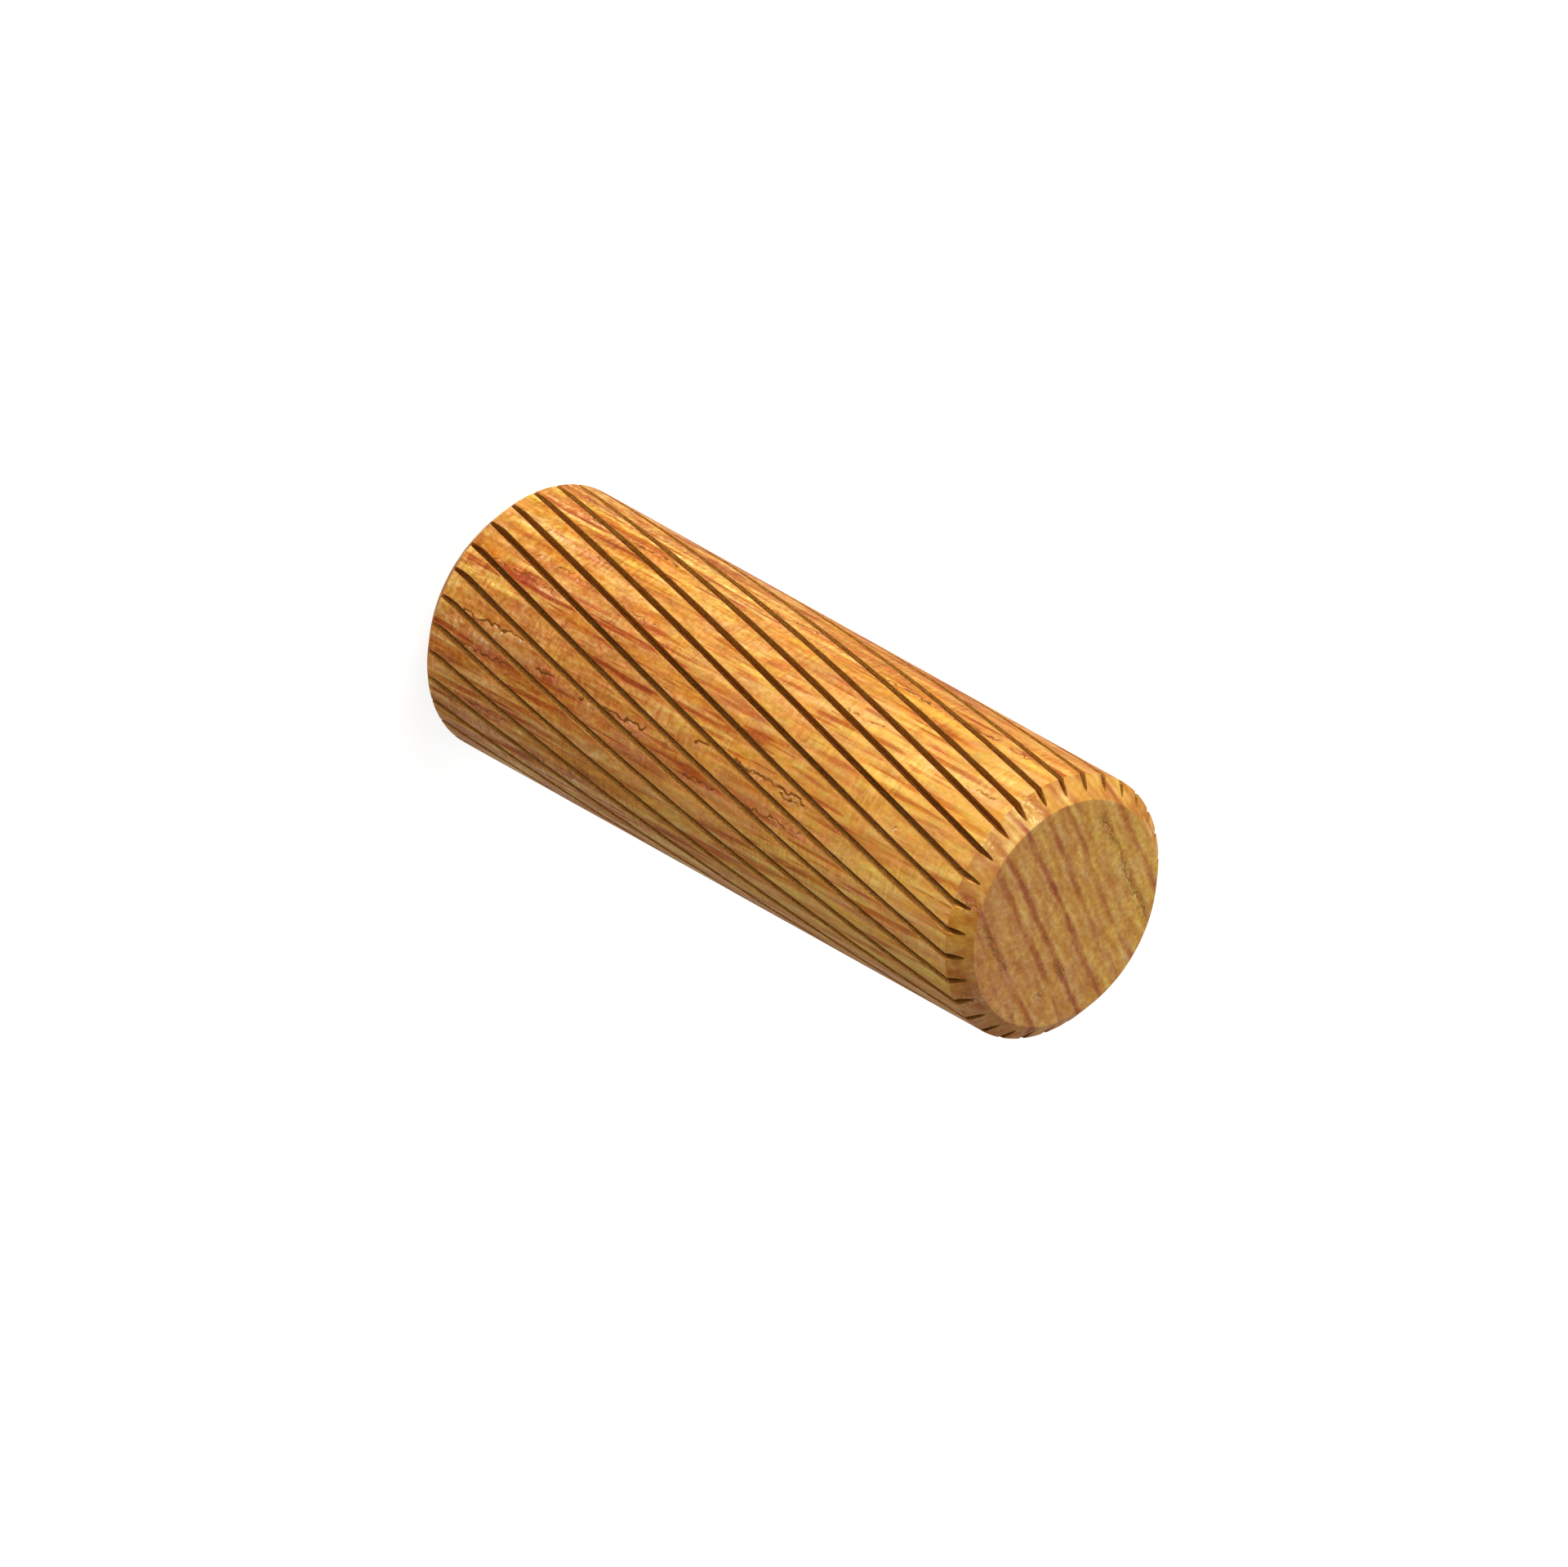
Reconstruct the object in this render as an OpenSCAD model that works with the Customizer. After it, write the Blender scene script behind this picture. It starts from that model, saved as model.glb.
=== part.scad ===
// Fluted wooden dowel pin: one turned piece with a chamfer at each end and narrow
// flutes that wind around it, as a right-hand screw, from one chamfer to the other.
// The pin stands on one end. Its axis is Z, and the origin is the centre of that end.

/* [Pin] */
// Diameter over the lands between the flutes
pin_d = 14; // [10:0.5:20]
// Length from end to end
pin_l = 40; // [20:1:80]
// Chamfer at each end, the same along the axis as across it
chamfer = 1; // [0.8:0.1:2]

/* [Flutes] */
// Number of flutes around the pin
flute_count = 30; // [12:1:36]
// Width of a flute at the surface
flute_w = 0.33; // [0.2:0.01:0.45]
// Depth of a flute below the surface
flute_depth = 0.69; // [0.4:0.01:0.75]
// Length of pin in which a flute would wind once around it
flute_lead = 200; // [120:5:400]
// Height above the lower end at which a flute has its full width
run_in = 1.75; // [1.4:0.05:4]

/* [Hidden] */

wood = [0.80, 0.56, 0.28];

// The cutter of a flute stands this far outside the pin
spare = 0.1;

// Exponent of the flute's section: 1 gives a pointed arch, 2 a half ellipse
section_power = 1.4;
// Points down one flank of the section, and the angle between them around the arch
flank_points = 2;
arch_step = 90 / (flank_points + 1);

// Half the width and the depth of the section at an angle around its arch
function arch(angle) = [
    flute_w / 2 * cos(angle),
    flute_depth * pow(sin(angle), 2 / section_power)
];

// One flank of the section, down to the last point above the floor. It starts
// outside the surface, on the line through the surface and its next point.
next_point = arch(arch_step);
flank_slope = (flute_w / 2 - next_point[0]) / next_point[1];
flank = [
    [flute_w / 2 + flank_slope * spare, -spare],
    for (i = [1:flank_points]) arch(arch_step * i)
];
section = [
    each flank,
    arch(90),
    for (i = [flank_points:-1:0]) [-flank[i][0], flank[i][1]]
];

// Height at which the floor of a flute comes out of the lower chamfer, and the
// share of its full width that the flute has there
floor_out = chamfer - flute_depth;
slit_share = 0.04;

// Heights of the cutter's rings. Above the run-in a flute turns at most this far
// from one ring to the next, in degrees.
turn_step = 6;
cut_top = pin_l + spare;
ring_count = ceil((cut_top - run_in) * 360 / flute_lead / turn_step);
ring_heights = [
    floor_out - spare / 2,
    for (i = [0:ring_count]) run_in + (cut_top - run_in) * i / ring_count
];

// Angle of a flute's centre line at height z
function turn_at(z) = 360 * z / flute_lead;

// Share of its full width that a flute has at height z
function width_share(z) = lookup(z, [[floor_out, slit_share], [run_in, 1]]);

// A point of the section at height z. Over the run-in one flank already winds,
// and the other starts beside it and runs nearly straight up the pin.
function flute_point(p, z) =
    let (
        share = width_share(z),
        across = p[0] * share + flute_w / 2 * (1 - share),
        angle = turn_at(z) + across / (pin_d / 2) * 180 / PI,
        r = pin_d / 2 - p[1]
    )
    [r * cos(angle), r * sin(angle), z];

// Solid through rings of n points each, given as one list of points, with flat ends
module skin(points, n) {
    last = len(points) - n;
    sides = [
        for (i = [0:n:last - n], j = [0:n - 1])
        let (k = (j + 1) % n)
        each [[i + k, i + j, i + n + k], [i + n + k, i + j, i + n + j]]
    ];
    polyhedron(points, [
        [for (j = [0:n - 1]) j],
        each sides,
        [for (j = [n - 1:-1:0]) last + j]
    ]);
}

// Cutter for one flute
module flute() {
    skin([for (z = ring_heights, p = section) flute_point(p, z)], len(section));
}

// The turned blank: a cylinder with both ends chamfered
module blank() {
    rotate_extrude($fn = 144)
        polygon([
            [0, 0],
            [pin_d / 2 - chamfer, 0],
            [pin_d / 2, chamfer],
            [pin_d / 2, pin_l - chamfer],
            [pin_d / 2 - chamfer, pin_l],
            [0, pin_l]
        ]);
}

module dowel_pin() {
    color(wood)
        difference() {
            blank();
            for (i = [0:flute_count - 1])
                rotate(i * 360 / flute_count) flute();
        }
}

dowel_pin();
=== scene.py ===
import math
import random
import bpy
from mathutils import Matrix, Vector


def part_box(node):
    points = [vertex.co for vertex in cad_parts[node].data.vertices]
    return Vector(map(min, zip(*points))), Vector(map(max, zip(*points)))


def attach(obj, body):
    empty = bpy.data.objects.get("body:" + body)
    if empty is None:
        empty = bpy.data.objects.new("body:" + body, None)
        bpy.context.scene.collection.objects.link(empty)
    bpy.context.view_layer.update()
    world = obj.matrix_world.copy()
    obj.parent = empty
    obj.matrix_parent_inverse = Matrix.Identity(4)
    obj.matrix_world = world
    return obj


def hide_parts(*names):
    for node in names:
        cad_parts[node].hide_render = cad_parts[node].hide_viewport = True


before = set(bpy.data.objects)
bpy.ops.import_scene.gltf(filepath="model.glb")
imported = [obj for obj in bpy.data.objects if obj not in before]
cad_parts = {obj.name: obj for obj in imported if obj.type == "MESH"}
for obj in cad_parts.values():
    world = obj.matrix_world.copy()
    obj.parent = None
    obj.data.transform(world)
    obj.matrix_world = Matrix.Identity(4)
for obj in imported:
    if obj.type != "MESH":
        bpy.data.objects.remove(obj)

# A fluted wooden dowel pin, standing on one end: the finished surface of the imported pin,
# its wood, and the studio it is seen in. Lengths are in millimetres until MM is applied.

from types import SimpleNamespace

import bmesh
import bpy
from mathutils import Matrix, Vector

MM = 0.001
NODE = "dowel_pin"
low_corner, high_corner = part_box(NODE)
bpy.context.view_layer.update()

# The pin, with the sizes that part.scad gives it
PIN_R = (high_corner.x - low_corner.x) / 2 / MM
PIN_L = (high_corner.z - low_corner.z) / MM
CHAMFER = 1.0
FLUTES = 30
FLUTE_W = 0.33
FLUTE_DEPTH = 0.69
FLUTE_LEAD = 200.0
RUN_IN = 1.75
SECTION_POWER = 1.4
FLOOR_OUT = CHAMFER - FLUTE_DEPTH
SLIT_SHARE = 0.04
PITCH = 2 * math.pi * PIN_R / FLUTES
FACE_R = PIN_R - CHAMFER

# Small roundings that a handled wooden pin has
RIM_ROUND = 0.045
LIP_ROUND = 0.028

# Resolution of the surface: steps down a flank, across a land and over a chamfer, and the
# length of a step along the side
FLANK_STEPS = 4
LAND_STEPS = 4
CHAMFER_STEPS = 12
SIDE_STEP = 0.5
# The narrow strip beside each rounding, which keeps the shading of the two apart
EDGE_STRIP = 0.03
# A flute is never narrower than this while it lasts, and has run out when it is shallower
FLOOR_HALF = 0.004
RUN_OUT = 0.004
# Points closer than this are one point
SAME_POINT = 1e-5
# Seed of the small changes of each flute's width
WOBBLE_SEED = 11

# Material slots of the surface
SIDE, END, GROOVE = 0, 1, 2

# The side of the pin that faces the viewer: 0 is -Y, and angles grow towards +X
FRONT = -90.0


# ---------------------------------------------------------------- surface

def rounded(corner, before, after, radius, steps=3):
    """Points of an arc that rounds the corner between two neighbours of an outline."""
    c, b, a = Vector(corner), Vector(before), Vector(after)
    to_b, to_a = (b - c).normalized(), (a - c).normalized()
    half = to_b.angle(to_a) / 2
    start = c + to_b * radius / math.tan(half)
    end = c + to_a * radius / math.tan(half)
    centre = c + (to_b + to_a).normalized() * radius / math.sin(half)
    points = []
    for i in range(steps + 1):
        spoke = (start - centre).lerp(end - centre, i / steps).normalized() * radius
        points.append(tuple(centre + spoke))
    return points


def between(start, end, steps):
    """Points strictly between two points of an outline, with one close to each end."""
    a, b = Vector(start), Vector(end)
    close = EDGE_STRIP / (b - a).length
    shares = [close] + [i / steps for i in range(1, steps)] + [1 - close]
    return [tuple(a.lerp(b, share)) for share in shares]


def outline():
    """(radius, height) of the pin's outline, from the lower face to the upper one."""
    bottom, top = (0.0, 0.0), (0.0, PIN_L)
    corners = [(FACE_R, 0.0), (PIN_R, CHAMFER), (PIN_R, PIN_L - CHAMFER), (FACE_R, PIN_L)]
    chain = [bottom, *corners, top]
    arcs = [
        rounded(chain[i], chain[i - 1], chain[i + 1], RIM_ROUND) for i in range(1, 5)
    ]
    side_steps = round((PIN_L - 2 * CHAMFER) / SIDE_STEP)
    inside = FACE_R - 3 * RIM_ROUND
    points = [(inside, 0.0)]
    points += arcs[0]
    points += between(arcs[0][-1], arcs[1][0], CHAMFER_STEPS)
    points += arcs[1]
    points += between(arcs[1][-1], arcs[2][0], side_steps)
    points += arcs[2]
    points += between(arcs[2][-1], arcs[3][0], CHAMFER_STEPS)
    points += arcs[3]
    points += [(inside, PIN_L)]
    return points


def width_share(z):
    """Share of its full width that a flute has at height z, over its run-in and above."""
    t = (z - FLOOR_OUT) / (RUN_IN - FLOOR_OUT)
    return SLIT_SHARE + (1 - SLIT_SHARE) * min(max(t, 0.0), 1.0)


def flank_points(half, start, sunk):
    """(across, depth) down one flank of a flute, from an angle around its arch on."""
    points = []
    for i in range(FLANK_STEPS + 1):
        arch = start + (math.pi / 2 - start) * i / FLANK_STEPS
        narrowest = FLOOR_HALF * (FLANK_STEPS - i) / FLANK_STEPS
        depth = FLUTE_DEPTH * math.sin(arch) ** (2 / SECTION_POWER)
        points.append((max(half * math.cos(arch), narrowest), max(depth, sunk)))
    return points


def flute_points(z, sunk, wobble):
    """(across, depth) of one flute and the land beside it at height z, where the surface
    of the pin lies sunk below its full radius."""
    share = width_share(z)
    half = FLUTE_W / 2 * share * (1 + wobble)
    shift = FLUTE_W / 2 * (1 - share)
    depth_left = FLUTE_DEPTH - sunk
    lip = max(min(LIP_ROUND, depth_left / 3, half), 0.0)
    start = math.pi / 2
    if depth_left > RUN_OUT:
        start = math.asin(((sunk + lip) / FLUTE_DEPTH) ** (SECTION_POWER / 2))
    flank = flank_points(half, start, sunk)
    edge = flank[0][0] + lip
    turn = math.radians(45)
    lips = [
        (edge, sunk),
        (edge - lip * math.sin(turn), sunk + lip * (1 - math.cos(turn))),
    ]
    right = lips + flank
    points = [(-a, d) for a, d in right] + list(reversed(right[:-1]))
    inner = PITCH - 2 * edge - 2 * EDGE_STRIP
    points += [(edge + EDGE_STRIP + inner * i / LAND_STEPS, sunk)
               for i in range(LAND_STEPS + 1)]
    return [(a + shift, d) for a, d in points]


# How many of a flute's faces around the pin are its walls; the rest are the land
GROOVE_FACES = 2 * (FLANK_STEPS + 2)


def wobble_tables(rng):
    """Slow, small changes of each flute's width along the pin, as sums of waves."""
    return [
        [(rng.uniform(0.4, 2.4), rng.uniform(0, 6.28), rng.uniform(0.01, 0.03))
         for _ in range(4)]
        for _ in range(FLUTES)
    ]


def ring(radius, z, waves):
    """(x, y, z) of one ring around the pin, and how far around it each point lies."""
    points, arcs = [], []
    for k in range(FLUTES):
        wobble = sum(size * math.sin(z * rate + start) for rate, start, size in waves[k])
        for across, depth in flute_points(z, PIN_R - radius, wobble):
            turn = 360 * k / FLUTES + 360 * z / FLUTE_LEAD
            angle = math.radians(turn) + across / PIN_R
            r = PIN_R - depth
            points.append((r * math.cos(angle), r * math.sin(angle), z))
            arcs.append(angle)
    return points, arcs


def merge_coincident(mesh):
    """Join the points that coincide where a flute has run out, with the faces between."""
    work = bmesh.new()
    work.from_mesh(mesh)
    bmesh.ops.remove_doubles(work, verts=work.verts, dist=SAME_POINT * MM)
    work.to_mesh(mesh)
    work.free()


def slot_at(z, in_flute):
    """The material slot of a face at height z."""
    if in_flute and FLOOR_OUT < z < PIN_L - FLOOR_OUT:
        return GROOVE
    return SIDE if CHAMFER < z < PIN_L - CHAMFER else END


def grain_places(corners, arcs, heights, at_seam):
    """Where a face's corners lie on the grain map: around the pin from FRONT, and up."""
    around = [arcs[c] for c in corners]
    if at_seam:
        around[1] += 2 * math.pi
        around[2] += 2 * math.pi
    first = (around[0] - math.radians(FRONT) + math.pi) % (2 * math.pi) - math.pi
    return [((first + a - around[0]) * PIN_R, heights[c]) for a, c in zip(around, corners)]


def pin_faces(rings, arcs, heights):
    """(corners, slot, places on the grain map) of each face between and over the rings."""
    n = len(arcs) // len(rings)
    per_flute = n // FLUTES
    faces = []
    for i in range(len(rings) - 1):
        middle = (rings[i][1] + rings[i + 1][1]) / 2
        for j in range(n):
            k = (j + 1) % n
            corners = [i * n + j, i * n + k, (i + 1) * n + k, (i + 1) * n + j]
            slot = slot_at(middle, j % per_flute < GROOVE_FACES)
            faces.append((corners, slot, grain_places(corners, arcs, heights, k == 0)))
    last = (len(rings) - 1) * n
    for corners in (list(reversed(range(n))), list(range(last, last + n))):
        faces.append((corners, END, [(0.0, heights[c]) for c in corners]))
    return faces


def finished_pin(materials):
    """The pin's surface as one closed mesh, with its grain map in millimetres."""
    waves = wobble_tables(random.Random(WOBBLE_SEED))
    rings = outline()
    points, arcs, heights = [], [], []
    for radius, z in rings:
        ring_points, ring_arcs = ring(radius, z, waves)
        points += ring_points
        arcs += ring_arcs
        heights += [z] * len(ring_points)
    faces, slots, grain = zip(*pin_faces(rings, arcs, heights))

    mesh = bpy.data.meshes.new("turned_pin")
    mesh.from_pydata([[c * MM for c in p] for p in points], [], faces)
    for material in materials:
        mesh.materials.append(material)
    mesh.polygons.foreach_set("material_index", slots)
    mesh.polygons.foreach_set("use_smooth", [True] * len(faces))
    layer = mesh.uv_layers.new(name="grain")
    layer.uv.foreach_set("vector", [c for places in grain for pair in places for c in pair])
    merge_coincident(mesh)
    return linked("turned_pin", mesh)


# ---------------------------------------------------------------- wood

class Shader:
    """One material: each call adds nodes and returns the socket that they give."""

    def __init__(self, name):
        self.material = bpy.data.materials.new(name)
        self.material.use_nodes = True
        self.tree = self.material.node_tree
        self.surface = self.tree.nodes["Principled BSDF"]
        place = self.add("ShaderNodeTexCoord", {}).outputs["Object"]
        # The place in millimetres, and on the grain map; the angle around the pin from
        # FRONT, in radians, and the height
        self.mm = self.vector("SCALE", place, scale=1 / MM)
        self.grain = self.add("ShaderNodeUVMap", {}, uv_map="grain").outputs["UV"]
        self.angle = self.vector("DOT_PRODUCT", self.grain, (1 / PIN_R, 0, 0))
        self.height = self.vector("DOT_PRODUCT", self.mm, (0, 0, 1))

    def add(self, kind, inputs, **settings):
        node = self.tree.nodes.new(kind)
        for name, value in settings.items():
            setattr(node, name, value)
        for name, value in inputs.items():
            self.put(node.inputs[name], value)
        return node

    def put(self, socket, value):
        if isinstance(value, bpy.types.NodeSocket):
            self.tree.links.new(value, socket)
        else:
            socket.default_value = value

    def vector(self, operation, a, b=None, scale=None):
        node = self.add("ShaderNodeVectorMath", {0: a}, operation=operation)
        if b is not None:
            self.put(node.inputs[1], b)
        if scale is not None:
            self.put(node.inputs["Scale"], scale)
        return node.outputs["Value" if operation == "DOT_PRODUCT" else "Vector"]

    def math(self, operation, *values):
        node = self.add("ShaderNodeMath", dict(enumerate(values)), operation=operation)
        return node.outputs[0]

    def product(self, first, *others):
        for other in others:
            first = self.math("MULTIPLY", first, other)
        return first

    def size_of(self, value):
        return self.math("ABSOLUTE", value)

    def radius(self):
        """Distance from the pin's axis."""
        flat = self.vector("MULTIPLY", self.mm, (1, 1, 0))
        return self.math("SQRT", self.vector("DOT_PRODUCT", flat, flat))

    def noise(self, per_mm, offset, detail=0.0, roughness=0.5, vector=None):
        """Noise with per_mm = (across, across, along) cells a millimetre, moved by offset
        so that no two are alike."""
        at = self.vector("MULTIPLY", vector or self.mm, per_mm)
        at = self.vector("ADD", at, (offset, offset * 0.7, offset * 1.3))
        return self.add("ShaderNodeTexNoise", {
            "Vector": at, "Scale": 1.0, "Detail": detail, "Roughness": roughness,
        }).outputs["Fac"]

    def between(self, value, low, high, to_low=0.0, to_high=1.0):
        """Value from low to high as a smooth step from to_low to to_high."""
        return self.add("ShaderNodeMapRange", {
            "Value": value, "From Min": low, "From Max": high,
            "To Min": to_low, "To Max": to_high,
        }, interpolation_type="SMOOTHSTEP").outputs["Result"]

    def turned(self, low, high, before, after):
        """A smooth step between two directions around the pin, in degrees from FRONT."""
        return self.between(self.angle, math.radians(low), math.radians(high), before, after)

    def mix(self, share, a, b):
        node = self.add("ShaderNodeMix", {}, data_type="RGBA")
        for name, value in (("Factor_Float", share), ("A_Color", a), ("B_Color", b)):
            self.put(next(s for s in node.inputs if s.identifier == name), value)
        return next(s for s in node.outputs if s.identifier == "Result_Color")

    def finish(self, colour, roughness, specular, relief, relief_mm):
        """The material with this surface; relief gives its bumps."""
        node = self.add("ShaderNodeBump", {
            "Strength": 1.0, "Distance": relief_mm * MM, "Height": relief,
        })
        for name, value in (("Base Color", colour), ("Roughness", roughness),
                            ("Specular IOR Level", specular),
                            ("Normal", node.outputs["Normal"])):
            self.put(self.surface.inputs[name], value)
        return self.material


# How wood varies about its mean: LIGHTER goes from reddish brown to pale gold, YELLOWER
# from pink to olive, and REDDER from greenish to red. Each is a step in the natural
# logarithm of the colour.
LIGHTER = (0.27, 0.58, 0.93)
YELLOWER = (0.366, 0.641, -0.675)
REDDER = (0.87, -0.49, 0.0)

# Mean colours of the wood, of the flutes' walls, and the colours of its checks
SIDE_MEAN = (0.60, 0.258, 0.046)
END_MEAN = (0.565, 0.262, 0.066)
# The flutes' walls: the first is burnished wood darkened further by painted shade of the
# narrow flutes, the second is deeper painted shade, the third is painted light
DARK_WALL = (0.33, 0.134, 0.019)
DEEP_SHADE_WALL = (0.23, 0.09, 0.012)
PAINTED_LIGHT_WALL = (0.82, 0.345, 0.067)
CHECK_BROWN = (0.18, 0.05, 0.0005, 1)
END_CHECK_BROWN = (0.19, 0.11, 0.018, 1)


def wood_colour(s, mean, lighter, yellower, redder=None):
    """The mean colour (linear), moved by the fields along the ways that wood varies."""
    logs = s.vector("ADD", s.vector("SCALE", LIGHTER, scale=lighter),
                    s.vector("SCALE", YELLOWER, scale=yellower))
    if redder is not None:
        logs = s.vector("ADD", logs, s.vector("SCALE", REDDER, scale=redder))
    logs = s.vector("ADD", logs, [math.log(c) for c in mean])
    parts = s.add("ShaderNodeSeparateXYZ", {"Vector": logs}).outputs
    channels = [s.math("EXPONENT", part) for part in parts]
    joined = s.add("ShaderNodeCombineColor", dict(enumerate(channels)))
    return joined.outputs[0]


def weighted(s, *terms):
    """Sum of weight * (field - middle) over (field, middle, weight)."""
    total = None
    for field, middle, weight in terms:
        offset = -middle * weight if total is None else s.math(
            "ADD", total, -middle * weight)
        total = s.math("MULTIPLY_ADD", field, weight, offset)
    return total


# Broad patches of the side as (angle from the front, height, half angle, half height,
# lighter, yellower), chosen by hand. Most are the wood's own tone; the two along the side's
# outlines, at -84 and 80 degrees, are painted shade and not darker wood.
TONE_AND_SHADE_PATCHES = [
    (20, 6, 38, 8, -0.42, -0.14),
    (15, 37, 42, 9, 0.42, 0.0),
    (-30, 36, 14, 8, 0.25, -0.02),
    (12, 17, 24, 7, -0.18, -0.08),
    (-55, 7, 12, 6, -0.2, 0.0),
    (-54, 25, 10, 8, -0.15, 0.04),
    # Painted shade along the side's outline at -84 degrees
    (-84, 20, 17, 60, -1.05, 0.1),
    (-30, 18, 12, 60, 0.12, -0.08),
    (-22, 6, 9, 5, -0.05, -0.10),
    (54, 5, 9, 5, -0.5, -0.06),
    (-22, 15.5, 8, 3, 0.3, 0.0),
    (-8, 26, 9, 5, -0.4, -0.1),
    (-8, 15.5, 8, 3, 0.05, -0.2),
    (40, 5.5, 9, 3.8, 0.7, 0.0),
    (38, 12, 8, 6, -0.2, -0.16),
    (38, 28, 8, 6, 0.3, 0.12),
    (52, 26, 8, 3, -0.35, 0.0),
    (53, 34.5, 9, 5, 0.6, 0.0),
    (-52, 35, 8, 4, -0.2, 0.03),
    (0, 30.5, 28, 2.5, -0.22, 0.0),
    (-15, 37, 14, 2.5, 0.2, 0.0),
    (-38, 30.5, 8, 3, 0.25, 0.0),
    (30, 20, 18, 60, 0.15, 0.0),
    (18, 6.5, 7, 3, -0.5, -0.2),
    (17, 13, 7, 4, 0.35, 0.0),
    (15, 27.5, 9, 2.5, 0.35, 0.0),
    (-40, 4.5, 10, 4, 0.35, 0.0),
    (-54, 32.5, 7, 3, -0.35, 0.0),
    (-28, 35.5, 8, 3, 0.35, 0.0),
    (-2, 11, 10, 2.5, -0.35, 0.0),
    (66, 18, 7, 12, -0.2, 0.0),
    (18, 23, 6, 2, -0.35, -0.15),
    # Painted shade along the side's outline at 80 degrees
    (80, 20, 12, 60, -0.35, 0.18),
]

# Stretches of the side that are redder, as (angle from the front, half angle, redder)
RUDDY = [(29, 17, 0.08)]


def apart(s, angle, height, wide, high):
    """Squared distance on the side from (angle, height), in steps of (wide, high)."""
    centre = (math.radians(angle) * PIN_R, height, 0)
    size = (1 / (math.radians(wide) * PIN_R), 1 / high, 0)
    away = s.vector("MULTIPLY", s.vector("SUBTRACT", s.grain, centre), size)
    return s.vector("DOT_PRODUCT", away, away)


def patch_fields(s):
    """How much lighter and how much yellower the broad patches make the wood, with painted
    shade along the side's outlines.
    """
    lighter, yellower = 0.0, 0.0
    for angle, height, wide, high, light, yellow in TONE_AND_SHADE_PATCHES:
        bell = s.math("EXPONENT", s.product(apart(s, angle, height, wide, high), -1.0))
        lighter = s.math("MULTIPLY_ADD", bell, light, lighter)
        yellower = s.math("MULTIPLY_ADD", bell, yellow, yellower)
    return lighter, yellower


def around_sum(s, patches):
    """Sum of height * bell over patches (angle from the front, half angle, height)."""
    total = 0.0
    for angle, half, height in patches:
        away = s.math("SUBTRACT", s.angle, math.radians(angle))
        share = s.math("DIVIDE", away, math.radians(half))
        bell = s.math("EXPONENT", s.product(share, share, -1.0))
        total = s.math("MULTIPLY_ADD", bell, height, total)
    return total


# Fine checks in the side as (angle from the front, from height, to height, darkness)
CHECKS = [
    (-66, 2.0, 4.6, 0.5), (-61, 16.8, 23.5, 0.65), (-57.5, 25.0, 30.2, 0.7),
    (-57, 31.0, 34.4, 0.7), (-56.8, 34.9, 37.6, 0.65), (-55, 4.5, 11.4, 0.6),
    (-37, 3.5, 9.0, 0.25), (-32, 26.3, 29.4, 0.3), (-28.5, 35.6, 38.7, 0.35),
    (-24, 4.2, 14.0, 0.35), (-14, 1.5, 7.5, 0.4), (-1.5, 16.2, 17.3, 0.5),
    (2, 33.2, 34.0, 0.4), (9, 2.4, 7.5, 0.75), (16, 8.2, 9.9, 0.8),
    (16.5, 11.4, 16.6, 1.0), (20.5, 13.8, 16.0, 0.6), (10, 19.5, 28.0, 1.0),
    (12.4, 25.8, 27.6, 0.7), (25, 19.3, 22.2, 0.6), (23.2, 23.5, 29.2, 0.6),
    (21, 2.5, 7.2, 0.6), (45, 3.0, 7.0, 0.45), (56, 3.5, 12.0, 0.3),
]

# Patches of small curled checks as (angle from the front, height, half angle, half height)
CURLS = [
    (-53, 9.0, 5, 2.4), (-55, 4.5, 5, 2.0), (-37, 7.0, 4, 1.8), (-14, 4.6, 3.5, 2.0),
    (-24, 8.0, 2.5, 3.0), (-21, 13.4, 2.5, 1.2), (16, 9.0, 4, 0.9), (19, 15.0, 3, 1.6),
    (-61, 20.0, 3, 2.6), (46, 5.0, 3, 2.0), (23, 27.8, 2.5, 1.4),
]

# A check runs along the grain in steps: level stretches with short slanted ones between
CHECK_SWING = 0.085
# Half the width of its line, and how far beside it the bright edge, a painted highlight,
# stands
CHECK_LINE = 0.058
CHECK_EDGE = 0.12
# Farther away than any check
FAR = 9.0


def check_steps(s, place):
    """How far the checks stand aside of their straight line, and how steeply there."""
    run = s.noise((0.35, 0.35, 1.25), 83.0, 1.0, 0.6, vector=place)
    step = s.math("MULTIPLY_ADD", run, 15.0, -7.5)
    step = s.math("MINIMUM", s.math("MAXIMUM", step, -1.0), 1.0)
    steep = s.math("SUBTRACT", 1.0, s.math("POWER", s.size_of(step), 6.0))
    drift = s.noise((0.2, 0.2, 0.3), 97.0, 1.0, vector=place)
    jitter = s.noise((4.0, 4.0, 4.0), 101.0, vector=place)
    aside = weighted(s, (drift, 0.5, 0.8), (jitter, 0.5, 0.16))
    return s.math("MULTIPLY_ADD", step, CHECK_SWING, aside), steep


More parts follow.
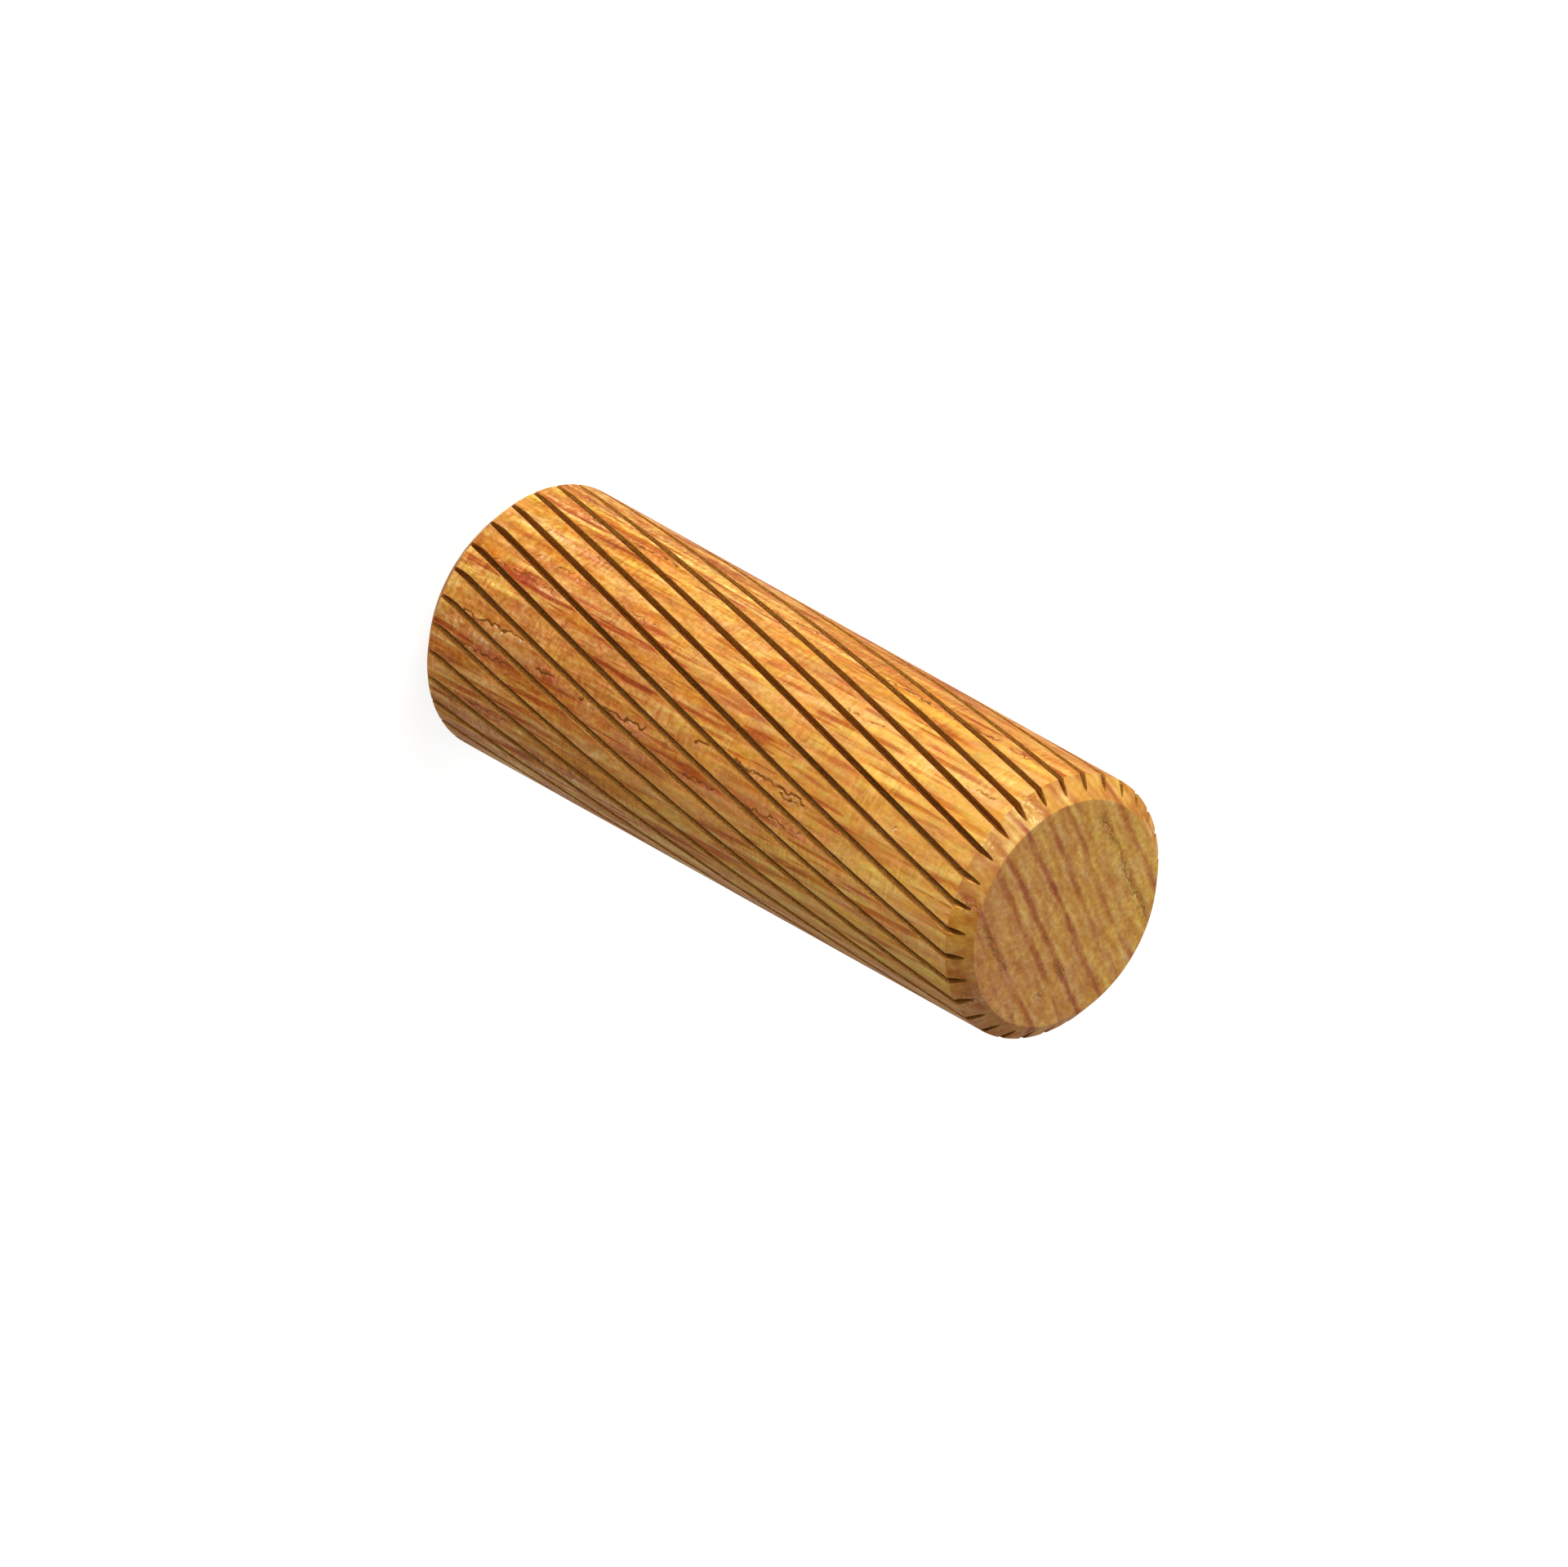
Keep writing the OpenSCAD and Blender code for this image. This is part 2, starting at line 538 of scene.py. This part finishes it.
def check_fields(s, grain, place, checks):
    """1 in the stepped checks and 0 elsewhere, the same for the bright edge beside them,
    a painted highlight, and for the stain around them."""
    aside, steep = check_steps(s, place)
    shift = s.add("ShaderNodeCombineXYZ", {0: aside}).outputs[0]
    bent = s.vector("SUBTRACT", grain, shift)
    line, edge = FAR, FAR
    for across, low, high, dark in checks:
        away = s.vector("SUBTRACT", bent, (across, (low + high) / 2, 0))
        part = s.add("ShaderNodeSeparateXYZ", {"Vector": away}).outputs
        half = (high - low) / 2
        faint = (1 - dark) * 1.5 * CHECK_LINE
        out = s.between(s.size_of(part["Y"]), half - 0.3, half + 0.4, faint, 0.5)
        beside = s.size_of(s.math("SUBTRACT", part["X"], CHECK_EDGE))
        line = s.math("MINIMUM", line, s.math("ADD", s.size_of(part["X"]), out))
        edge = s.math("MINIMUM", edge, s.math("ADD", beside, out))
    width = s.math("MULTIPLY_ADD", steep, 0.7, 1.0)
    broken = s.noise((0.6, 0.6, 1.3), 31.0, 1.0, vector=place)
    broken = s.between(broken, 0.32, 0.38, 0.75, 1.0)
    stain = s.between(line, 0.0, 0.45, 1.0, 0.0)
    line = s.between(s.math("DIVIDE", line, width), 0.5 * CHECK_LINE, 1.4 * CHECK_LINE, 1, 0)
    return s.product(line, broken), s.between(edge, 0.02, 0.3, 1.0, 0.0), stain


def curl_fields(s):
    """1 in the small curled checks, which are outlines of a noise that are kept where a
    second one is high, and 1 all over their patches."""
    zone = 0.0
    for curl in CURLS:
        inside = s.between(apart(s, *curl), 0.3, 1.3, 1.0, 0.0)
        zone = s.math("MAXIMUM", zone, inside)
    level = s.math("SUBTRACT", s.noise((2.3, 2.3, 2.0), 107.0, 1.0), 0.5)
    outlines = s.between(s.size_of(level), 0.012, 0.034, 1.0, 0.0)
    kept = s.between(s.noise((2.0, 2.0, 1.5), 113.0), 0.46, 0.54)
    return s.product(outlines, kept, zone), zone


def side_marks(s):
    """The checks in the side, the bright edge beside them, a painted highlight, and the stain
    around them.
    """
    side_checks = [(math.radians(a) * PIN_R, low, high, dark) for a, low, high, dark in CHECKS]
    checks, beside, stain = check_fields(s, s.grain, s.mm, side_checks)
    curls, curly = curl_fields(s)
    checks = s.math("MAXIMUM", checks, s.product(curls, 0.5))
    return checks, beside, s.math("MAXIMUM", s.product(stain, 0.4), s.product(curly, 0.7))


def flute_place(s):
    """Across the nearest flute from its middle, and how deep below the pin's radius."""
    part = s.add("ShaderNodeSeparateXYZ", {"Vector": s.grain}).outputs
    climb = 2 * math.pi * PIN_R / FLUTE_LEAD
    first = -math.radians(FRONT) * PIN_R
    around = s.math("SUBTRACT", s.math("MULTIPLY_ADD", part["Y"], -climb, part["X"]), first)
    across = s.math("WRAP", around, PITCH / 2, -PITCH / 2)
    return across, s.math("SUBTRACT", PIN_R, s.radius())


def long_grain(s):
    """The fields of the wood's long grain."""
    thin = s.noise((3.6, 3.6, 0.2), 17.0, 1.0)
    strong = s.between(s.noise((0.5, 0.5, 0.12), 19.0, 1.0), 0.38, 0.62, 0.35, 1.3)
    weave = s.noise((4.0, 4.0, 1.1), 23.0)
    fibre = s.noise((4.6, 4.6, 3.4), 29.0)
    ragged = weighted(s, (thin, 0.0, 1.0), (weave, 0.5, 0.2), (fibre, 0.5, 0.15))
    ribs = s.math("SUBTRACT", s.noise((1.2, 1.2, 6.0), 41.0), 0.5)
    ribbed = s.between(s.noise((0.4, 0.4, 0.3), 47.0), 0.42, 0.62)
    return SimpleNamespace(
        broad=s.noise((0.30, 0.30, 0.05), 3.0), streak=s.noise((2.6, 2.6, 0.14), 9.0),
        weave=weave, fibre=fibre, fine=s.noise((8.0, 8.0, 5.5), 5.0),
        reds=s.product(s.between(ragged, 0.51, 0.65), strong), ribs=s.product(ribs, ribbed),
    )


def side_lightness(s, wood, patched):
    """How light the side is: its grain, calmer towards the upper end, and its patches."""
    grained = weighted(
        s, (wood.weave, 0.5, 1.35), (wood.fibre, 0.5, 1.25), (wood.fine, 0.5, 0.9))
    grained = s.product(grained, s.between(s.height, 18.0, 34.0, 1.0, 0.6))
    lighter = weighted(
        s, (wood.broad, 0.5, 0.7), (wood.streak, 0.5, 2.1), (wood.reds, 0.25, -1.15),
        (grained, 0.0, 1.0), (wood.ribs, 0.0, 1.3),
    )
    strength = s.product(s.between(s.height, 3.0, 24.0, 1.45, 0.92),
                         s.turned(-58, -42, 1.3, 1.0))
    lighter = s.math("MULTIPLY_ADD", lighter, strength, patched)
    palest = s.math("MAXIMUM", s.math("SUBTRACT", lighter, 0.4), 0.0)
    return s.math("MULTIPLY_ADD", palest, -0.15, lighter)


def side_yellowness(s, wood, lighter, patched):
    """How yellow the side is: it varies most where the wood is dark."""
    cast = s.noise((0.3, 0.3, 0.05), 57.0)
    hue = s.noise((1.4, 1.4, 0.16), 53.0)
    blush = s.noise((1.7, 1.7, 0.75), 59.0)
    tint = s.noise((4.0, 4.0, 2.4), 67.0)
    yellower = weighted(
        s, (cast, 0.5, 0.3), (hue, 0.5, 0.6), (blush, 0.5, 0.45), (tint, 0.5, 0.35),
        (wood.reds, 0.2, -0.08),
    )
    varied = s.between(lighter, -1.2, 0.9, 1.6, 0.8)
    return s.math("MULTIPLY_ADD", yellower, varied, patched)


def side_wood():
    """Turned long grain: streaks along the pin, fibres, cross ribs and stepped checks."""
    s = Shader("wood_side")
    wood = long_grain(s)
    checks, beside, stain = side_marks(s)
    specks = s.between(s.noise((6.0, 6.0, 6.0), 61.0), 0.58, 0.68)
    # Glints: pale specks along the bright edge of the checks, a painted highlight
    glints = s.product(specks, beside)
    across, _ = flute_place(s)
    lip = s.between(s.size_of(across), FLUTE_W / 2, FLUTE_W / 2 + 0.1, 1.0, 0.0)
    pink = s.noise((2.6, 2.6, 1.0), 73.0, 1.0)
    ruddy = around_sum(s, RUDDY)

    patched_light, patched_yellow = patch_fields(s)
    lighter = side_lightness(s, wood, patched_light)
    yellower = side_yellowness(s, wood, lighter, patched_yellow)
    lighter = s.math("ADD", lighter, weighted(s, (stain, 0.0, -0.4), (glints, 0.0, 1.0)))
    yellower = s.math("ADD", yellower, weighted(
        s, (stain, 0.0, -0.16), (checks, 0.0, 0.4), (glints, 0.0, -0.3), (lip, 0.0, -0.22)))
    redder = weighted(s, (pink, 0.5, 0.4), (stain, 0.0, 0.13), (wood.reds, 0.2, 0.05),
                      (ruddy, 0.0, 1.0))
    colour = s.mix(checks, wood_colour(s, SIDE_MEAN, lighter, yellower, redder), CHECK_BROWN)
    relief = weighted(
        s, (wood.streak, 0.5, 0.6), (wood.weave, 0.5, 0.5), (wood.fibre, 0.5, 0.5),
        (wood.fine, 0.5, 0.4), (wood.ribs, 0.0, 0.6), (wood.reds, 0.0, -0.35),
        (checks, 0.0, -0.5), (glints, 0.0, 0.4),
    )
    return s.finish(colour, s.between(wood.streak, 0.3, 0.7, 0.62, 0.5), 0.15, relief, 0.03)


# The grain's direction across the ends, and its dark bands there as (offset from the
# axis across the grain, darkness)
END_GRAIN = 62.0
BANDS = [
    (-5.2, 0.6), (-4.15, 0.35), (-3.0, 0.3), (-2.35, 0.55), (-1.2, 0.6), (0.08, 1.0),
    (1.58, 1.0), (2.5, 0.75), (4.3, 0.7),
]

# Fine checks across the ends as (offset across the grain, from, to along it, darkness)
END_CHECKS = [
    (-3.98, -3.6, 4.3, 0.75), (4.35, -3.6, 0.2, 0.8), (1.6, 2.0, 3.2, 0.9),
    (1.56, 0.0, 0.6, 0.6), (3.0, 2.6, 3.3, 0.8), (4.87, 2.4, 3.1, 0.7),
]

# Patches of the chamfers as (angle from the front, half angle, lighter, yellower), and
# clusters of pale specks there as (angle, half angle). The two darkest patches, at -110 and
# 112 degrees, are painted shade and not darker wood.
CHAMFER_TONE_AND_SHADE = [
    # The patch at -110 degrees is painted shade; the others here are the wood's tone
    (-110, 22, -0.75, -0.15), (-60, 14, -0.35, 0.0), (-28, 16, 0.42, 0.0),
    (26, 17, -0.33, 0.4), (56, 14, -0.33, 0.0), (84, 16, 0.05, -0.1),
    # Painted shade at 112 degrees
    (112, 18, -0.7, 0.0),
]
SPECK_CLUSTERS = [(-36, 5), (-11, 4), (16, 4), (66, 7)]


def end_places(s):
    turn = math.radians(END_GRAIN)
    along = s.vector("DOT_PRODUCT", s.mm, (math.cos(turn), math.sin(turn), 0))
    across = s.vector("DOT_PRODUCT", s.mm, (math.sin(turn), -math.cos(turn), 0))
    flat = s.add("ShaderNodeCombineXYZ", {0: across, 1: along, 2: s.height}).outputs[0]
    lengthwise = s.add("ShaderNodeCombineXYZ", {0: across, 1: s.height, 2: along}).outputs[0]
    return across, flat, lengthwise


def end_bands(s, across, flat):
    """High in the dark bands of the end grain, less where they fade, and 0 elsewhere."""
    sway = s.noise((0.15, 0.2, 0.02), 7.0, 1.0, vector=flat)
    bent = s.math("ADD", across, s.math("MULTIPLY_ADD", sway, 0.5, -0.25))
    fray = s.noise((5.0, 1.6, 0.1), 17.0, 1.0, vector=flat)
    fray = s.math("MULTIPLY_ADD", fray, 0.3, -0.15)
    bands = 0.0
    for offset, dark in BANDS:
        away = s.math("ADD", s.size_of(s.math("SUBTRACT", bent, offset)), fray)
        bands = s.math("MAXIMUM", bands, s.between(away, 0.02, 0.31, dark, 0.0))
    fade = s.noise((1.4, 0.32, 0.05), 13.0, 1.0, vector=flat)
    return s.product(bands, s.between(fade, 0.36, 0.58, 0.4, 1.2))


def end_marks(s, flat, lengthwise):
    """The checks in the ends: long lines, with small loops near them."""
    lines, _, near = check_fields(s, flat, lengthwise, END_CHECKS)
    level = s.math("SUBTRACT", s.noise((3.6, 3.2, 0.3), 109.0, vector=flat), 0.5)
    loops = s.between(s.size_of(level), 0.015, 0.045, 0.9, 0.0)
    loops = s.product(loops, s.between(near, 0.3, 0.5))
    return s.math("MAXIMUM", s.product(lines, 0.85), loops)


def chamfer_tone(s):
    """How much lighter and yellower than the end grain the chamfers are, with painted shade
    in two patches.
    """
    chamfer = s.between(s.radius(), FACE_R - 0.05, FACE_R + 0.05)
    blotch = s.noise((0.9, 0.9, 0.7), 91.0, 1.0)
    lighter = around_sum(s, [(a, half, light) for a, half, light, _ in CHAMFER_TONE_AND_SHADE])
    lighter = s.math("ADD", lighter, weighted(s, (blotch, 0.5, 2.4)))
    yellower = around_sum(s, [(a, half, yellow) for a, half, _, yellow in CHAMFER_TONE_AND_SHADE])
    specks = s.between(s.noise((7.5, 7.5, 7.5), 61.0), 0.56, 0.64)
    near = around_sum(s, [(a, half, 1.0) for a, half in SPECK_CLUSTERS])
    specks = s.product(specks, near)
    lighter = s.math("MULTIPLY_ADD", specks, 1.1, lighter)
    yellower = s.math("MULTIPLY_ADD", specks, -0.15, yellower)
    return s.product(chamfer, lighter), s.product(chamfer, yellower)


def end_wood():
    """The cut ends and their chamfers: one flat pattern of bands, seen end on."""
    s = Shader("wood_end")
    across, flat, lengthwise = end_places(s)
    bands = end_bands(s, across, flat)
    checks = end_marks(s, flat, lengthwise)
    chamfer_light, chamfer_yellow = chamfer_tone(s)
    streak = s.noise((3.4, 0.4, 0.05), 19.0, vector=flat)
    weave = s.noise((3.0, 0.9, 0.1), 23.0, vector=flat)
    mottle = s.noise((4.0, 3.0, 0.3), 29.0, vector=flat)
    fuzz = s.noise((4.6, 5.0, 0.3), 59.0, vector=flat)
    fine = s.noise((10.0, 6.0, 1.0), 71.0, vector=flat)
    hue = s.noise((1.1, 0.4, 0.1), 43.0, vector=flat)
    tint = s.noise((2.6, 1.4, 0.1), 47.0, vector=flat)

    lighter = weighted(
        s, (bands, 0.18, -1.0), (streak, 0.5, 1.3), (weave, 0.5, 0.9), (mottle, 0.5, 0.9),
        (fuzz, 0.5, 0.7), (fine, 0.5, 0.45), (across, 0.0, -0.025), (chamfer_light, 0.0, 1.0),
    )
    yellower = weighted(
        s, (hue, 0.5, 0.45), (tint, 0.5, 0.45), (bands, 0.18, -0.36), (across, 0.0, -0.03),
        (chamfer_yellow, 0.0, 1.0),
    )
    colour = wood_colour(s, END_MEAN, lighter, yellower)
    colour = s.mix(s.product(checks, 0.7), colour, END_CHECK_BROWN)
    relief = weighted(
        s, (bands, 0.0, -0.6), (mottle, 0.5, 0.5), (fuzz, 0.5, 0.5), (fine, 0.5, 0.4),
        (streak, 0.5, 0.5), (checks, 0.0, -1.0),
    )
    return s.finish(colour, s.between(mottle, 0.3, 0.7, 0.7, 0.58), 0.15, relief, 0.025)


# A line of sight from the front crosses a flute at a slant that grows with the angle, up to
# a limit, and is a little more than the angle's own since the flutes climb. The painted shade
# and light on the flutes' walls are laid out along it.
SIGHT_LIMIT = 1.2
SIGHT_CLIMB = 0.19
# Across its mouth a wall goes from painted shade to painted light over this much
PALE_RISE = 0.2


def painted_wall_light(s):
    """How much painted light the walls of the flutes get, against painted shade. Followed back
    along a line of sight from the front to the flute's mouth, they go from painted shade at
    one side to painted light at the other. Where that starts, and how pale they get, changes
    around the pin."""
    across, depth = flute_place(s)
    angle = s.math("MAXIMUM", s.math("MINIMUM", s.angle, SIGHT_LIMIT), -SIGHT_LIMIT)
    slant = s.math("ADD", s.math("TANGENT", angle), SIGHT_CLIMB)
    reach = s.math("MULTIPLY_ADD", s.product(depth, slant), -1.0, across)
    start = weighted(
        s, (s.turned(-18, 8, 0.0, 1.0), 0.0, -0.17), (s.turned(22, 40, 0.0, 1.0), 0.0, 0.05),
        (s.turned(-58, -42, 1.0, 0.0), 0.0, -0.1),
    )
    hidden = s.between(reach, FLUTE_W / 2, FLUTE_W / 2 + 0.055, 1.0, 0.15)
    front = s.product(s.turned(-15, -3, 0.0, 0.75), s.turned(22, 38, 1.0, 0.0))
    # More painted shade over part of the walls at the front, from -15 to 38 degrees
    shade = s.product(s.between(reach, 0.05, 0.13), front)
    pale = s.product(
        s.between(s.math("SUBTRACT", reach, start), 0.0, PALE_RISE), hidden,
        s.turned(-42, -20, 0.35, 1.0), s.turned(22, 60, 1.0, 0.2),
        s.math("SUBTRACT", 1.0, shade),
    )
    # A painted highlight along the lips of the flutes
    lip = s.between(depth, 0.0, 0.025, 0.5, 0.0)
    return s.math("MAXIMUM", pale, lip)


def groove_wood():
    """The cut walls of the flutes: burnished dark wood with painted shade, deeper painted
    shade in places, and painted light in part.
    """
    s = Shader("wood_groove")
    fibre = s.noise((5.0, 5.0, 1.2), 71.0, 1.0)
    # A fine speckle of painted shade and light over the walls, beside the fibre of their grain
    shade_speckle = s.noise((9.0, 9.0, 9.0), 77.0)
    lighter = weighted(s, (fibre, 0.5, 1.8), (shade_speckle, 0.5, 1.9))
    yellower = weighted(s, (shade_speckle, 0.5, 0.5))
    dark, deep_shade, pale = [
        wood_colour(s, mean, lighter, yellower)
        for mean in (DARK_WALL, DEEP_SHADE_WALL, PAINTED_LIGHT_WALL)
    ]
    # Deeper painted shade on the walls beyond -20 degrees from the front, fading in from -38;
    # then painted light where the walls take it
    colour = s.mix(s.turned(-38, -20, 0.0, 1.0), dark, deep_shade)
    colour = s.mix(painted_wall_light(s), colour, pale)
    relief = weighted(s, (fibre, 0.5, 1.0), (shade_speckle, 0.5, 0.8))
    return s.finish(colour, 0.8, 0.05, relief, 0.03)


# ---------------------------------------------------------------- studio

PIN_MIDDLE = Vector((0, 0, PIN_L / 2 * MM))

# The view, with angles in degrees, and how far its middle stands from the pin's in it
VIEW_AZIMUTH = -1.87
VIEW_ELEVATION = 40.31
VIEW_ROLL = 119.154
VIEW_WIDTH = 76.63 * MM
VIEW_RIGHT = -0.431 * MM
VIEW_UP = -1.074 * MM
VIEW_DISTANCE = 0.4

# How far off the lamps stand, and their size
LAMP_DISTANCE = 0.6
LAMP_SIZE = 0.35

# The light from all around, and the floor
AMBIENT = 0.29
FLOOR_REACH = 6.0
FLOOR_GREY = 0.35
FLOOR_GLOW = 0.85


def linked(name, data):
    obj = bpy.data.objects.new(name, data)
    bpy.context.scene.collection.objects.link(obj)
    return obj


def direction(azimuth, elevation):
    """The direction from the pin to a place around it, with azimuths from FRONT."""
    a, e = math.radians(FRONT + azimuth), math.radians(elevation)
    return Vector((math.cos(a) * math.cos(e), math.sin(a) * math.cos(e), math.sin(e)))


def camera():
    """A parallel view of the pin, from the photo's side."""
    back = direction(VIEW_AZIMUTH, VIEW_ELEVATION)
    level = Vector((0, 0, 1)).cross(back).normalized()
    upright = back.cross(level)
    roll = math.radians(VIEW_ROLL)
    right = level * math.cos(roll) + upright * math.sin(roll)
    up = upright * math.cos(roll) - level * math.sin(roll)
    aim = PIN_MIDDLE + right * VIEW_RIGHT + up * VIEW_UP
    data = bpy.data.cameras.new("camera")
    data.type = "ORTHO"
    data.ortho_scale = VIEW_WIDTH
    data.clip_start = 0.01
    data.clip_end = 10
    obj = linked("camera", data)
    axes = Matrix((right, up, back)).transposed().to_4x4()
    obj.matrix_world = Matrix.Translation(aim + back * VIEW_DISTANCE) @ axes
    bpy.context.scene.camera = obj


def lamp(name, azimuth, elevation, watts, colour=(1.0, 1.0, 1.0)):
    """A square lamp that shines on the pin."""
    away = direction(azimuth, elevation)
    data = bpy.data.lights.new(name, "AREA")
    data.shape = "SQUARE"
    data.size = LAMP_SIZE
    data.energy = watts
    data.color = colour
    obj = linked(name, data)
    obj.location = PIN_MIDDLE + away * LAMP_DISTANCE
    obj.rotation_mode = "QUATERNION"
    obj.rotation_quaternion = (-away).to_track_quat("-Z", "Y")


def seen_directly(tree):
    """Light Path: 1 for the camera and for mirror-like and clear rays, else 0."""
    path = tree.nodes.new("ShaderNodeLightPath")
    total = path.outputs["Is Camera Ray"]
    for name in ("Is Glossy Ray", "Is Transmission Ray"):
        most = tree.nodes.new("ShaderNodeMath")
        most.operation = "MAXIMUM"
        tree.links.new(total, most.inputs[0])
        tree.links.new(path.outputs[name], most.inputs[1])
        total = most.outputs[0]
    return total


def white_world():
    """White for the eye, and plain daylight from all around for the pin."""
    world = bpy.data.worlds.new("studio")
    world.use_nodes = True
    tree = world.node_tree
    background = tree.nodes["Background"]
    strength = tree.nodes.new("ShaderNodeMapRange")
    strength.inputs["To Min"].default_value = AMBIENT
    strength.inputs["To Max"].default_value = 1.0
    tree.links.new(seen_directly(tree), strength.inputs["Value"])
    background.inputs["Color"].default_value = (1, 1, 1, 1)
    tree.links.new(strength.outputs["Result"], background.inputs["Strength"])
    bpy.context.scene.world = world


def floor_white():
    """A grey that catches the shadow, with a glow for the eye that brings it to white."""
    material = bpy.data.materials.new("floor_white")
    material.use_nodes = True
    tree = material.node_tree
    tree.nodes.remove(tree.nodes["Principled BSDF"])
    diffuse = tree.nodes.new("ShaderNodeBsdfDiffuse")
    diffuse.inputs["Color"].default_value = (FLOOR_GREY, FLOOR_GREY, FLOOR_GREY, 1)
    glow = tree.nodes.new("ShaderNodeEmission")
    glow.inputs["Color"].default_value = (1, 1, 1, 1)
    share = tree.nodes.new("ShaderNodeMath")
    share.operation = "MULTIPLY"
    share.inputs[1].default_value = FLOOR_GLOW
    tree.links.new(seen_directly(tree), share.inputs[0])
    tree.links.new(share.outputs[0], glow.inputs["Strength"])
    both = tree.nodes.new("ShaderNodeAddShader")
    tree.links.new(diffuse.outputs[0], both.inputs[0])
    tree.links.new(glow.outputs[0], both.inputs[1])
    tree.links.new(both.outputs[0], tree.nodes["Material Output"].inputs["Surface"])
    return material


def floor():
    mesh = bpy.data.meshes.new("floor")
    corners = [(-1, -1, 0), (1, -1, 0), (1, 1, 0), (-1, 1, 0)]
    mesh.from_pydata([Vector(c) * FLOOR_REACH for c in corners], [], [(0, 1, 2, 3)])
    mesh.materials.append(floor_white())
    obj = linked("floor", mesh)


# ---------------------------------------------------------------- scene

camera()
white_world()
floor()
lamp("key", -60, 7, 5.1, (1.0, 0.95, 0.86))
lamp("fill", 0, 6, 1.4)
lamp("back", -150, 50, 1.05)

pin = finished_pin([side_wood(), end_wood(), groove_wood()])
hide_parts(NODE)
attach(pin, "root")

bpy.context.scene.view_settings.view_transform = "Standard"
